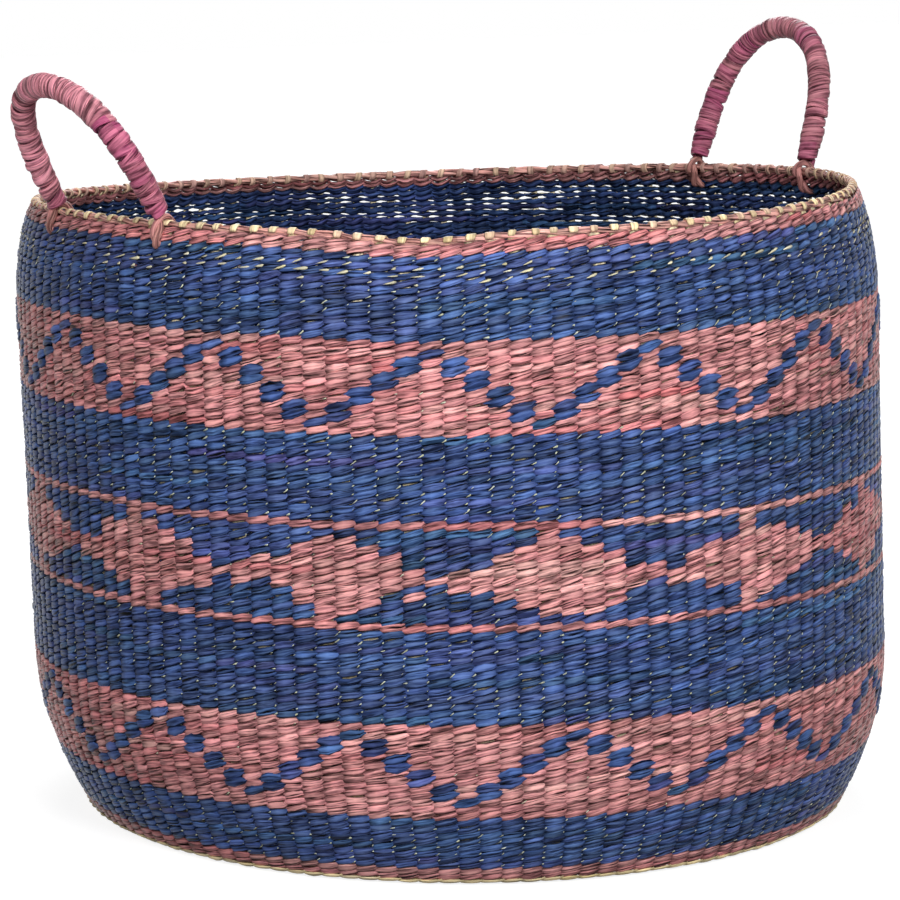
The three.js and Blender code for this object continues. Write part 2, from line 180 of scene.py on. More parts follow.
class Wall:
    """The woven surface: a point is given by its bearing, its distance along and its depth below."""

    STEP = 0.5 * MM
    SEAM = 0.3 * MM                   # between the top row and the rim's cord
    SPARE = 10 * MM                   # of outline above the rim's cord
    FLAT = 4 * MM                     # of base inside its turned-up edge
    SLOPE_BEARING = math.radians(-78.7)
    SAG_BEARING = math.radians(159.6)
    DIP_BEARING = math.radians(-130.3)
    DIP_WIDTH = math.radians(9)

    def __init__(self):
        self.shape = shape = bpy.context.scene.basket_shape
        self.middle = shape.wall_thickness / 2
        self.top = shape.base_edge + sum(rows * self.pitch(tight) for _, rows, _, tight in BANDS)
        self.cord = self.top + self.SEAM + shape.rim_cord_radius
        along = np.arange(0, self.cord + self.SPARE, self.STEP)
        tilt = self.tilt(along + self.STEP / 2)
        radius = np.concatenate([[0], np.cumsum(self.STEP * np.sin(tilt))[:-1]])
        height = np.concatenate([[0], np.cumsum(self.STEP * np.cos(tilt))[:-1]])
        radius += shape.body_radius - radius.max()
        self.rim_height = np.interp(self.cord, along, height)
        edge = radius[0] - shape.base_turn
        above = along >= shape.base_edge
        along, radius, height = along[above], radius[above], height[above]
        turned_up = radius[0] - edge
        chamfer = math.hypot(turned_up, height[0])
        flat_end = along[0] - chamfer
        self.along = np.concatenate(
            [[flat_end - edge, flat_end - self.FLAT, flat_end + chamfer / 2], along])
        self.radius = np.concatenate([[0, edge - self.FLAT, (edge + radius[0]) / 2], radius])
        self.height = np.concatenate([[0, 0, height[0] / 2], height])
        self.slope = np.concatenate(
            [[0, 0, math.atan2(height[0], turned_up)], np.pi / 2 - self.tilt(along)])
        self.rim_radius = float(self.radius_at(self.cord))

    def pitch(self, tight):
        return self.shape.rim_row_pitch if tight else self.shape.row_pitch

    def bands(self):
        """For each band: its node, pattern, and the middle of each row from the base up."""
        along = self.shape.base_edge
        for node, rows, pattern, tight in BANDS:
            yield node, pattern, [along + (row + 0.5) * self.pitch(tight) for row in range(rows)]
            along += rows * self.pitch(tight)

    def tilt(self, along):
        shape = self.shape
        flare = np.clip(1 - along / shape.heel_length, 0, 1) ** shape.heel_ease
        shoulder = np.clip((along - self.top) / shape.shoulder_length + 1, 0, None)
        return shape.heel_flare * flare - shape.shoulder_tilt * shoulder ** 2

    def rim_rise(self, bearing):
        shape = self.shape
        once = shape.rim_slope * np.cos(bearing - self.SLOPE_BEARING)
        twice = shape.rim_sag * np.cos(2 * (bearing - self.SAG_BEARING))
        turn = (bearing - self.DIP_BEARING + np.pi) % (2 * np.pi) - np.pi
        return once + twice - shape.rim_dip * np.exp(-(turn / self.DIP_WIDTH) ** 2)

    def radius_at(self, along):
        return np.interp(along, self.along, self.radius)

    def lean(self, height):
        """How far the basket's middle has moved at a height, in x and y."""
        reach = self.shape.lean_at_rim * height / self.rim_height
        return reach * math.cos(self.shape.lean_bearing), reach * math.sin(self.shape.lean_bearing)

    def place(self, bearing, along, depth):
        """Points of the surface as an array of (x, y, z)."""
        bearing, along, depth = np.broadcast_arrays(bearing, along, depth)
        slope = np.interp(along, self.along, self.slope)
        radius = self.radius_at(along) - depth * np.sin(slope)
        height = np.interp(along, self.along, self.height) + depth * np.cos(slope)
        felt = np.clip(1 - (self.cord - along) / self.shape.wave_reach, 0, None) ** 2
        aside, back = self.lean(height)
        return np.stack([radius * np.cos(bearing) + aside, radius * np.sin(bearing) + back,
                         height + felt * self.rim_rise(bearing)], axis=-1)

    def place_straw(self, bearing, half, along, depth, thick, corners):
        """The rings of a flat straw. half is half its width, as a bearing."""
        return np.stack([self.place(bearing + half * side, along, depth + thick * up)
                         for side, up in corners], axis=1)


def warp_bearing(place, warps):
    """The bearing of a place that is counted in warps."""
    return FIRST_WARP + 2 * np.pi * place / warps


def ripple(bearing, along, seed, size):
    """A slow unevenness that neighbouring rows share."""
    rng = np.random.default_rng(seed)
    waves, most_round, steepest = 7, 15, 60
    total = 0
    for _ in range(waves):
        round_about = rng.integers(2, most_round)
        upward = rng.uniform(-steepest, steepest)
        total = total + np.sin(round_about * bearing + upward * along + rng.uniform(0, 2 * np.pi))
    return size * total / np.sqrt(waves)


def warp_drift(bearing, along):
    """The warps aren't quite evenly spaced, nor quite upright."""
    spacing = 2 * np.pi / bpy.context.scene.weave.warps
    return ripple(bearing, 0.25 * along, 5, 0.16 * spacing)


def loose_patches(warps, seed):
    """How far a row's gaps open at each warp: in patches some warps long."""
    return np.clip(0.75 + ripple(warp_bearing(np.arange(warps), warps), 0, seed, 0.95), 0, 1.6)


def far_side(bearing):
    """0 at the front, where the rows are beaten tight, and 1 at the far side."""
    return np.clip(0.5 - 0.9 * np.cos(bearing - FRONT), 0, 1)


# Patterns

REPEAT = 10                       # warps from one peak of a pattern to the next
PEAKS = {"wall_zigzag_upper": 0, "wall_zigzag_lower": 6, "wall_diamond_band": 6}    # a peak's warp
# From the top row down: a zigzag's blue stitch, in warps from the peak, and a diamond's width in warps
ZIGZAG_STEPS = (None, 0, 1, 1, 2, 2, 3, 3, 4, 4, 5, None, None)
DIAMOND_WIDTHS = (1, 2, 4, 6, 8, 10, 10, 8, 6, 4, 2, 1)
STRAY = 0.14                      # share of the stitches at a diamond's edge that have the other colour


def from_peak(band, warps):
    """Each warp's place in its repeat, from minus half a repeat to just under half."""
    return (np.arange(warps) - PEAKS[band] + REPEAT // 2) % REPEAT - REPEAT // 2


def zigzag_arch(row_from_top):
    """Blue stitches one over the other bow apart like an eye: 1 for the upper, -1 for the lower."""
    own = ZIGZAG_STEPS[row_from_top]
    above = ZIGZAG_STEPS[row_from_top - 1]
    below = ZIGZAG_STEPS[min(row_from_top + 1, len(ZIGZAG_STEPS) - 1)]
    return 1 if own == below else -1 if own == above else 0


def blue_stitches(band, pattern, row_from_top, warps):
    """Which stitches of a row are blue, for each warp."""
    if pattern == "blue":
        return np.ones(warps, bool)
    if pattern == "zigzag" and ZIGZAG_STEPS[row_from_top] is not None:
        return np.abs(from_peak(band, warps)) == ZIGZAG_STEPS[row_from_top]
    if pattern == "diamond":
        width = DIAMOND_WIDTHS[row_from_top]
        place = from_peak(band, warps) + (0.5 if width % 2 == 0 else 1 if width == 1 else 0)
        stray = np.random.default_rng(60 + row_from_top).random(warps) < STRAY
        outside = np.abs(place) - width / 2
        return (outside > 0) ^ (stray & (np.abs(outside) < 0.8))
    return np.zeros(warps, bool)


# Straw as meshes

def circle(count):
    return np.linspace(0, 2 * np.pi, count, endpoint=False)


class Strands:
    """Gathers tubes of straw into one mesh, with a dye for each ring, painted shade and highlight on
    that dye, and a map that runs along them.
    """

    def __init__(self):
        self.points, self.loops, self.sizes, self.dyes, self.map = [], [], [], [], []
        self.count = 0

    def add(self, rings, dyes, lengths, closed, around=None, shade=1.0, worn=1.0):
        """rings is (steps, sides, 3), dyes one dye or (steps, 3), and lengths the way run at each ring.

        around is each side's way round the section, in which a strand's edges are whole numbers.
        shade scales the dye with painted shade, or above 1 a painted highlight, and the last argument
        lets worn fibres and a painted sheen highlight show, from ring to ring.
        """
        steps, sides = rings.shape[:2]
        dyes = np.broadcast_to(dyes, (steps, 3))
        shade, worn = np.broadcast_to(shade, steps), np.broadcast_to(worn, steps)
        if around is None:
            around = np.linspace(0, 2, sides + 1)
        near = np.arange(steps if closed else steps - 1)
        far = (near + 1) % steps
        side = np.arange(sides)
        after = (side + 1) % sides
        here, there = near[:, None] * sides, far[:, None] * sides
        quads = np.stack([here + side, here + after, there + after, there + side], axis=-1)
        quads = quads.reshape(-1, 4)
        ahead = lengths[far].copy()
        if closed:
            ahead[-1] = lengths[-1] + lengths[1] - lengths[0]
        u = np.stack([lengths[near], lengths[near], ahead, ahead], axis=-1)[:, None]
        v = around[np.stack([side, side + 1, side + 1, side], axis=-1)]
        uv = np.stack(np.broadcast_arrays(u, v), axis=-1).reshape(-1, 4, 2)
        ring = np.stack([near, near, far, far], axis=-1)
        # Each corner: the dye times its painted shade or highlight, and in alpha its worn fibres and
        # painted sheen
        colours = np.concatenate([dyes[near][:, None] * shade[ring][..., None], worn[ring][..., None]],
                                 axis=-1)
        colours = np.repeat(colours, sides, axis=0)
        turned = self.inside_out(rings, quads)
        if turned:
            quads, uv, colours = quads[:, ::-1], uv[:, ::-1], colours[:, ::-1]
        self.put(quads, 4, colours.reshape(-1, 4), uv)
        if not closed:
            for cap, step in ((side[::-1], 0), ((steps - 1) * sides + side, steps - 1)):
                cap = cap[::-1] if turned else cap
                flat = np.stack([np.full(sides, lengths[step]), around[side]], axis=-1)
                dye = np.append(dyes[step] * shade[step], worn[step])
                self.put(cap[None], sides, np.repeat(dye[None], sides, axis=0), flat)
        self.points.append(rings.reshape(-1, 3))
        self.count += steps * sides

    def put(self, faces, size, dyes, uv):
        self.loops.append((faces + self.count).reshape(-1))
        self.sizes.append(np.full(len(faces), size))
        self.dyes.append(dyes)
        self.map.append(uv.reshape(-1, 2))

    @staticmethod
    def inside_out(rings, quads):
        """Whether the first faces of a tube look at its own middle."""
        points = rings.reshape(-1, 3)
        few = quads[: rings.shape[1]]
        a, b, c = (points[few[:, corner]] for corner in range(3))
        middle = points[few].reshape(-1, 3).mean(axis=0)
        return np.einsum("ij,ij->i", np.cross(b - a, c - a), a - middle).sum() < 0

    def build(self, name, finish, body, slot, node=None):
        """Makes the piece, which rides on its body and may take the place of a CAD node."""
        sizes = np.concatenate(self.sizes).astype(np.int32)
        points = np.concatenate(self.points).astype(np.float32)
        loops = np.concatenate(self.loops).astype(np.int32)
        mesh = bpy.data.meshes.new(name)
        mesh.vertices.add(len(points))
        mesh.vertices.foreach_set("co", points.ravel())
        mesh.loops.add(len(loops))
        mesh.loops.foreach_set("vertex_index", loops)
        mesh.polygons.add(len(sizes))
        starts = np.concatenate([[0], np.cumsum(sizes)[:-1]]).astype(np.int32)
        mesh.polygons.foreach_set("loop_start", starts)
        mesh.update(calc_edges=True)
        # The dye carries the painted shade and highlight, and its alpha the worn fibres and painted
        # sheen
        dye = mesh.color_attributes.new("dye", "FLOAT_COLOR", "CORNER")
        dye.data.foreach_set("color", np.concatenate(self.dyes).astype(np.float32).ravel())
        strand_map = mesh.uv_layers.new(name="strand")
        strand_map.uv.foreach_set("vector", np.concatenate(self.map).astype(np.float32).ravel())
        mesh.shade_smooth()
        mesh.materials.append(straw_material(finish))
        piece = bpy.data.objects.new(name, mesh)
        bpy.context.scene.collection.objects.link(piece)
        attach(piece, body)
        if node:
            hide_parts(node)


def dye_of(name):
    return np.array(getattr(bpy.context.scene.straw_colours, name))


def strip_shades(rng, count, dyes, weights, uneven=0.16):
    """A dye for each stitch: strips of straw run for some stitches, and each stitch varies a little."""
    dyes = np.array(dyes)
    shades = np.empty((count, 3))
    start = 0
    while start < count:
        run = rng.integers(2, 11)
        mix = rng.dirichlet(weights)
        shades[start:start + run] = mix @ dyes * rng.uniform(0.8, 1.2)
        start += run
    return shades * rng.uniform(1 - uneven, 1 + uneven, (count, 1))


def pink_shades(rng, count):
    return strip_shades(rng, count, [dye_of("pink"), dye_of("peach"), dye_of("red")], [2.6, 1.0, 0.45])


def blue_shades(rng, count):
    dyes = [dye_of("blue"), dye_of("teal"), dye_of("violet")]
    return strip_shades(rng, count, dyes, [4, 0.9, 0.8], uneven=0.32)


def straw_shades(rng, count):
    straw = dye_of("straw")
    dyes = [straw, straw * (0.82, 0.78, 0.6), straw * (1.1, 1.1, 1.2)]
    return strip_shades(rng, count, dyes, [2, 1, 1])


# One strand, in warps: from the middle of one back (-1), through the middle of a front (0),
# to the middle of the next back (1)

STITCH_AT = np.array([-1, -0.72, -0.56, -0.44, -0.28, 0, 0.28, 0.44, 0.56, 0.72, 1])
DIVE = np.array([1, 0.94, 0.45, 0.15, 0.02, 0, 0, 0.02, 0.14, 0.86, 1])    # from the outer face in
CLIMB = np.array([0, -1.0, -1.1, -0.95, -0.55, 0, 0.55, 0.95, 1.2, 1.25, 0])    # of the slant
WIDE = np.array([1.05, 0.92, 0.72, 0.82, 0.94, 1.0, 0.94, 0.83, 0.7, 0.86, 1.05])    # of its width
THICK = np.array([0.92, 0.8, 0.75, 0.8, 0.92, 1, 0.9, 0.72, 0.52, 0.6, 0.92])
PAINTED_SHADING = np.array([0.7, 0.4, 0.42, 0.6, 0.92, 1.15, 0.97, 0.76, 0.58, 0.42, 0.7])    # painted shade at the crossings and a painted highlight at the crest, as a factor of the dye
WEAR_AND_SHEEN = np.array([0.2, 0, 0.05, 0.15, 0.6, 1, 0.7, 0.3, 0.1, 0, 0.2])    # fibres rubbed pale, and a painted sheen highlight on the crest
LOOSE_DIVE = np.array([1, 0.98, 0.84, 0.16, 0.02, 0, 0.02, 0.16, 0.84, 0.98, 1])    # in a loose row
LOOSE_WIDE = np.array([1, 0.97, 0.9, 0.9, 0.97, 1, 0.97, 0.9, 0.9, 0.97, 1])
LOOSE_GAP = np.array([0.06, 0.38, 0.4, 0.4, 0.38, 0.06, 0.38, 0.4, 0.4, 0.38, 0.06])    # width lost
ALL_STEPS, FEW_STEPS = slice(5, -1), [5, 7, 8]    # of STITCH_AT, from a front towards the next back
AROUND = np.array([0, 0.25, 0.5, 0.75, 1, 1.5, 2])    # the way round a strand's section
EDGE = 0.6                        # where a section's shoulders stand, of half its width
SHOULDER = 0.86                   # their height, of half its thickness
HELD_SLOPE = 1.6                  # how soon a stitch's own unevenness fades away from its middle
SHOWN_PAST = 0.68                 # of a warp, where a strand's dye changes behind its neighbour

# How uneven the stitches are, each on its own and row by row

WIDTH, WIDTH_SPREAD = 1.03, 0.12              # of the strand's width
LIFT_SPREAD, ROW_LIFT_SPREAD = 0.24 * MM, 0.1 * MM
ROW_WAVE = 0.25 * MM                          # a slow rise and fall that rows share
BULGE_SPREAD = 0.16 * MM
LEAST_STEEP, MOST_STEEP = 0.6, 1.4            # of the slant
SLANT_SWING = 0.3                             # how much the slant gains on one side of the basket
ASTRAY_SPREAD = 0.04                          # of the warps' spacing
GROOVE_ASIDE, DEEPEST_GROOVE = 0.3, 0.6       # of half the section's width and thickness

# How a plump stitch of a zigzag bows and swells

EYE_REACH = 0.8
EYE_LENGTH, EYE_LENGTHENED = 0.75, 0.3
EYE_TIP = 0.6                     # width left at its tips
EYE_BOW, EYE_LEVEL = 0.7 * MM, 0.35
EYE_WIDER, EYE_BULGE, EYE_STEEPER = 0.3, 0.7 * MM, 0.5


def weave_row(strands, wall, along, outer, inner, seed, openness=0.0, slant=1.0, few=False, plump=0.0,
              shallow=0.1, sunk=0.0, painted_rib_shade=0.45, arch=0, tall=1.0):
    """Twists two strands round the warps. outer and inner hold the dye of each warp's stitches.

    openness, plump and ribbed may differ from warp to warp. arch bows the plump stitches up or down.
    shallow keeps the backs off the inner face, and the rib shading paints shade on each stitch towards
    its ends and a highlight at its middle.
    """
    weave = bpy.context.scene.weave
    rng = np.random.default_rng(seed)
    warps = len(outer)
    place = (np.arange(warps)[:, None] + STITCH_AT[FEW_STEPS if few else ALL_STEPS]).ravel()
    column = np.round(place).astype(int) % warps
    middle = wall.middle
    thick = weave.strand_thickness / 2
    plump, openness, painted_rib_shade = (np.broadcast_to(value, warps) for value in (plump, openness, painted_rib_shade))
    opened = np.interp(place, np.arange(warps + 1), np.append(openness, openness[0]))
    loose = np.clip(opened, 0, 1)
    half = tall * weave.strand_width / 2
    climb = slant * weave.slant * (1 - 0.8 * loose)
    width = rng.normal(WIDTH, WIDTH_SPREAD, warps) + EYE_WIDER * plump
    lift = rng.normal(0, LIFT_SPREAD, warps) + rng.normal(0, ROW_LIFT_SPREAD)
    bulge = rng.normal(0, BULGE_SPREAD, warps) + EYE_BULGE * plump
    steep = rng.uniform(LEAST_STEEP, MOST_STEEP, warps)
    astray = rng.normal(0, ASTRAY_SPREAD, warps) * 2 * np.pi / warps
    groove_at = rng.uniform(-GROOVE_ASIDE, GROOVE_ASIDE, warps)
    groove = rng.uniform(0, DEEPEST_GROOVE, warps)

    def along_stitch(table, loose_table=None):
        value = np.interp(turn, STITCH_AT, table)
        if loose_table is None:
            return value
        return value + (np.interp(turn, STITCH_AT, loose_table) - value) * loose

    for strand in (0, 1):
        turn = (place - strand + 1) % 2 - 1
        swollen = plump[np.round(place - turn).astype(int) % warps]
        eye = swollen * np.clip(1 - (turn / EYE_REACH) ** 2, 0, 1)
        turn = turn * np.where(np.abs(turn) < EYE_LENGTH, 1 - EYE_LENGTHENED * swollen, 1)
        front = 1 - along_stitch(DIVE, LOOSE_DIVE) * (1 - shallow)
        held = np.clip(1 - HELD_SLOPE * np.minimum(np.abs(turn), 1 - np.abs(turn)), 0, 1)
        reach = (middle - thick) * (1 - 0.4 * loose)
        depth = middle + sunk + reach * (1 - 2 * front) - bulge[column] * held
        bearing = warp_bearing(place, warps)
        rise = along_stitch(CLIMB) * climb * steep[column]
        rise = rise * (1 + SLANT_SWING * np.cos(bearing - STEEPEST))
        rise = rise * (1 + EYE_STEEPER * (eye > 0)) + arch * (eye - EYE_LEVEL) * EYE_BOW * (eye > 0)
        bearing = bearing + warp_drift(bearing, along) + astray[column] * held
        rise = rise + lift[column] * held + ripple(bearing, along, 11, ROW_WAVE)
        hw = along_stitch(WIDE, LOOSE_WIDE) - opened * along_stitch(LOOSE_GAP)
        hw = half * hw * (1 + (width[column] - 1) * held)
        hw = hw * np.where(eye > 0, EYE_TIP + (1 - EYE_TIP) * eye, 1)
        ht = thick * along_stitch(THICK)
        flat = np.ones_like(hw)
        across = np.stack([-flat, -EDGE * flat, groove_at[column], EDGE * flat, flat, 0 * flat], axis=1)
        up = np.stack([0 * flat, SHOULDER * flat, 1 - groove[column] * front, SHOULDER * flat, 0 * flat,
                       -flat], axis=1)
        rings = wall.place(bearing[:, None], along + rise[:, None] + hw[:, None] * across,
                           depth[:, None] - ht[:, None] * up)
        ahead = (place + np.append(place[1:], warps)) / 2
        nearest = np.round(ahead).astype(int)
        beside = np.where(ahead > nearest, nearest + 1, nearest - 1)
        shown = (nearest - strand) % 2 == 0
        tip = ~shown & (np.abs(ahead - beside) < SHOWN_PAST)
        source = np.where(tip, beside, nearest) % warps
        dyes = np.where((shown | tip)[:, None], outer[source], inner[source])
        # Painted shade towards the stitch's ends and a painted highlight at its middle
        shade = 1 + (along_stitch(PAINTED_SHADING) - 1) * painted_rib_shade[column]
        # Worn fibres and a painted sheen highlight on the crest, less on a plump stitch
        worn = along_stitch(WEAR_AND_SHEEN) * (1 - 0.4 * plump[column])
        lengths = place * 2 * np.pi * wall.radius_at(along) / warps + 17 * rng.uniform()
        join = -(1 - strand) * len(place) // warps    # the map's two ends meet at the back of a stitch
        strands.add(np.roll(rings, join, axis=0), np.roll(dyes, join, axis=0), lengths, closed=True,
                    around=AROUND, shade=np.roll(shade, join), worn=np.roll(worn, join))


# Finishes

def add_node(tree, kind, inputs, **settings):
    """A new shader node. inputs gives each socket, by name or number, a value or an output to link."""
    node = tree.nodes.new("ShaderNode" + kind)
    for name, value in settings.items():
        setattr(node, name, value)
    feed(tree, node, inputs)
    return node


def feed(tree, node, inputs):
    for name, value in inputs.items():
        if isinstance(value, bpy.types.NodeSocket):
            tree.links.new(value, node.inputs[name])
        else:
            node.inputs[name].default_value = value


def new_group(name, inputs, outputs):
    group = bpy.data.node_groups.new(name, "ShaderNodeTree")
    for in_out, sockets in (("INPUT", inputs), ("OUTPUT", outputs)):
        for label, kind in sockets.items():
            group.interface.new_socket(label, in_out=in_out, socket_type="NodeSocket" + kind)
    return group, group.nodes.new("NodeGroupInput").outputs, group.nodes.new("NodeGroupOutput")


# A worn fibre, and the painted sheen highlight, has the dye's colour times the first, plus the second
WEAR_AND_SHEEN_GAIN, WEAR_AND_SHEEN_PALE = (1.9, 1.95, 1.8), (0.042, 0.052, 0.05)


def straw_fibre_group():
    """Fibres along a strand streak its dye, roughen it here and there and stand up a little; painted
    shade darkens its edges, and worn fibres show a painted sheen.
    """
    if "straw fibre" in bpy.data.node_groups:
        return bpy.data.node_groups["straw fibre"]
    group, given, end = new_group(
        "straw fibre",
        {"Strand": "Vector", "Dye": "Color", "Fibres": "Float", "Contrast": "Float", "Fading": "Float",
         "Edges": "Float", "Worn": "Float"},
        {"Colour": "Color", "Roughness": "Float", "Height": "Float"})

    def maths(operation, *values):
        return add_node(group, "Math", dict(enumerate(values)), operation=operation).outputs[0]

    def noise(along, round_about, detail):
        place = add_node(group, "CombineXYZ", {0: maths("MULTIPLY", run, along),
                                               1: maths("MULTIPLY", round_it, round_about)})
        return add_node(group, "TexNoise", {"Vector": place.outputs[0], "Scale": 1,
                                            "Detail": detail}).outputs["Fac"]

    def spread(source, low, high, reach=0.2):
        """The middle of a noise's range, spread out from low to high."""
        return add_node(group, "MapRange", {
            "Value": source, "From Min": 0.5 - reach, "From Max": 0.5 + reach,
            "To Min": low, "To Max": high}).outputs[0]

    run, round_it = add_node(group, "SeparateXYZ", {0: given["Strand"]}).outputs[:2]
    fine = noise(60, given["Fibres"], 3)
    strips = noise(35, 2.6, 1)
    patches = noise(120, 0.9, 2)
    sharp = maths("ADD", spread(fine, -0.55, 0.55, 0.13), spread(strips, -0.35, 0.35, 0.12))
    streaks = maths("MULTIPLY_ADD", sharp, given["Contrast"], 1)
    faded = maths("MULTIPLY_ADD", spread(patches, -0.4, 0.45), given["Fading"], 1)
    # Painted shade: the strand darkens towards its edges, where it meets its neighbours
    crown = maths("POWER", maths("ABSOLUTE", maths("SINE", maths("MULTIPLY", round_it, math.pi))), 0.7)
    edges = maths("MULTIPLY_ADD", maths("SUBTRACT", crown, 1), given["Edges"], 1)
    tint = add_node(group, "VectorMath", {
        0: given["Dye"], "Scale": maths("MULTIPLY", maths("MULTIPLY", streaks, faded), edges)},
        operation="SCALE")
    paler = add_node(group, "VectorMath", {0: given["Dye"], 1: WEAR_AND_SHEEN_GAIN, 2: WEAR_AND_SHEEN_PALE},
                     operation="MULTIPLY_ADD")
    # Worn fibres, and a painted sheen highlight, pale the dye where the fibres are bright
    worn = maths("MULTIPLY", spread(fine, -0.5, 1.2, 0.16), given["Fading"])
    worn = maths("MULTIPLY", worn, given["Worn"])
    wear_and_sheen_colour = add_node(group, "Mix", {"Factor": maths("MAXIMUM", maths("MULTIPLY", worn, edges), 0),
                                    "A": tint.outputs[0], "B": paler.outputs[0]}, data_type="RGBA")
    feed(group, end, {
        "Colour": wear_and_sheen_colour.outputs["Result"], "Roughness": spread(fine, 0.24, 0.42),
        "Height": maths("MULTIPLY_ADD", strips, 0.45, maths("MULTIPLY", fine, 0.55))})
    return group


FINISHES = {    # fibres round a strand, contrast, fading, painted shade at the edges, bump, specular
    "satin weft": (4, 1.15, 1.0, 0.5, 1.0, 0.045),
    "dry straw": (4, 0.45, 0.4, 0.25, 0.5, 0.05),
    "wound strip": (5, 0.8, 0.8, 0.35, 0.8, 0.05),
}


def straw_material(name):
    """Dyed straw: the dye, with its painted shade and sheen, comes from the strand, and its fibres from
    its map.
    """
    if name in bpy.data.materials:
        return bpy.data.materials[name]
    fibres, contrast, fading, edges, bump, specular = FINISHES[name]
    material = bpy.data.materials.new(name)
    material.use_nodes = True
    tree = material.node_tree
    dye = add_node(tree, "VertexColor", {}, layer_name="dye").outputs
    strand = add_node(tree, "UVMap", {}, uv_map="strand").outputs
    fibre = tree.nodes.new("ShaderNodeGroup")
    fibre.node_tree = straw_fibre_group()
    feed(tree, fibre, {"Strand": strand["UV"], "Dye": dye["Color"], "Worn": dye["Alpha"],
                       "Fibres": fibres, "Contrast": contrast, "Fading": fading, "Edges": edges})
    relief = add_node(tree, "Bump", {"Strength": bump, "Distance": 0.3 * MM,
                                     "Height": fibre.outputs["Height"]})
    feed(tree, tree.nodes["Principled BSDF"], {
        "Base Color": fibre.outputs["Colour"], "Roughness": fibre.outputs["Roughness"],
        "Specular IOR Level": specular, "Normal": relief.outputs["Normal"]})
    return material


# The operators

class BASKET_OT_weave_wall(bpy.types.Operator):
    """Twine the rows of every band of the wall"""

    bl_idname = "basket.weave_wall"
    bl_label = "Weave wall"

    LOOKS = {"rim": {"shallow": 0, "tall": 0.8}, "narrow": {"slant": 0.8, "shallow": 0.35},
             "zigzag": {"slant": 1.05}, "diamond": {"slant": 1.2}, "blue": {}}
    # Painted shade on the outside of the foot's rows, which face down
    FOOT_PAINTED_SHADE = 0.78
    # How far the rows of wall_blue_top open, from above
    OPEN_ROWS = (0.12, 0.55, 0.85, 0.8, 0.55, 0.85, 0.65, 0.3, 0.15, 0.1, 0.1)
    OPEN_FRONT, OPEN_FARTHER = 0.25, 0.85    # the share of it at the front, and what the far side adds

    def execute(self, context):
        wall = Wall()
        seed = 1000
        for node, pattern, rows in wall.bands():
            look = "rim" if node == "rim_pink_band" else "narrow" if len(rows) <= 2 else pattern
            pieces = []
            for index, along in enumerate(rows):
                if index % ROWS_PER_PIECE == 0:
                    pieces.append(Strands())
                self.weave(pieces[-1], wall, node, pattern, look, along, len(rows) - 1 - index, seed)
                seed += 1
            slot = "blue_weft" if pattern == "blue" else "pink_weft"
            for number, strands in enumerate(pieces):
                strands.build("woven_" + node.removeprefix("wall_") + ("_crest" if number else ""),
                              "satin weft", "basket", slot, node)
        return {"FINISHED"}

    def weave(self, strands, wall, node, pattern, look, along, from_top, seed):
        warps = bpy.context.scene.weave.warps
        bearing = warp_bearing(np.arange(warps), warps)
        rng = np.random.default_rng(seed)
        pinks, blues = pink_shades(rng, warps), blue_shades(rng, warps)
        blue = blue_stitches(node, pattern, from_top, warps)
        outer = np.where(blue[:, None], blues, pinks)
        if node == "foot_pink_band":
            # Painted shade on the foot
            outer = outer * self.FOOT_PAINTED_SHADE
        inner = blues if pattern == "blue" else pinks
        if pattern == "diamond":
            inner = np.where(blue[:, None], pinks, blues)
        openness = 0.0
        if node == "wall_blue_top":
            patches = self.OPEN_ROWS[from_top] * loose_patches(warps, seed)
            openness = patches * (self.OPEN_FRONT + self.OPEN_FARTHER * far_side(bearing))
        plump = blue * (pattern == "zigzag")
        # How strongly each stitch takes its painted shade and highlight: in slow patches, fully on blue,
        # the rim and narrow bands, half elsewhere, more on plump stitches
        rib_shade = np.clip(0.65 + ripple(bearing, along, 19, 0.4), 0.25, 1)
        rib_shade = np.where(blue | (look in ("rim", "narrow")), rib_shade, 0.5 * rib_shade) + 0.3 * plump
        weave_row(strands, wall, along, outer, inner, seed, openness, plump=plump, painted_rib_shade=rib_shade,
                  arch=zigzag_arch(from_top) if pattern == "zigzag" else 0, **self.LOOKS[look])


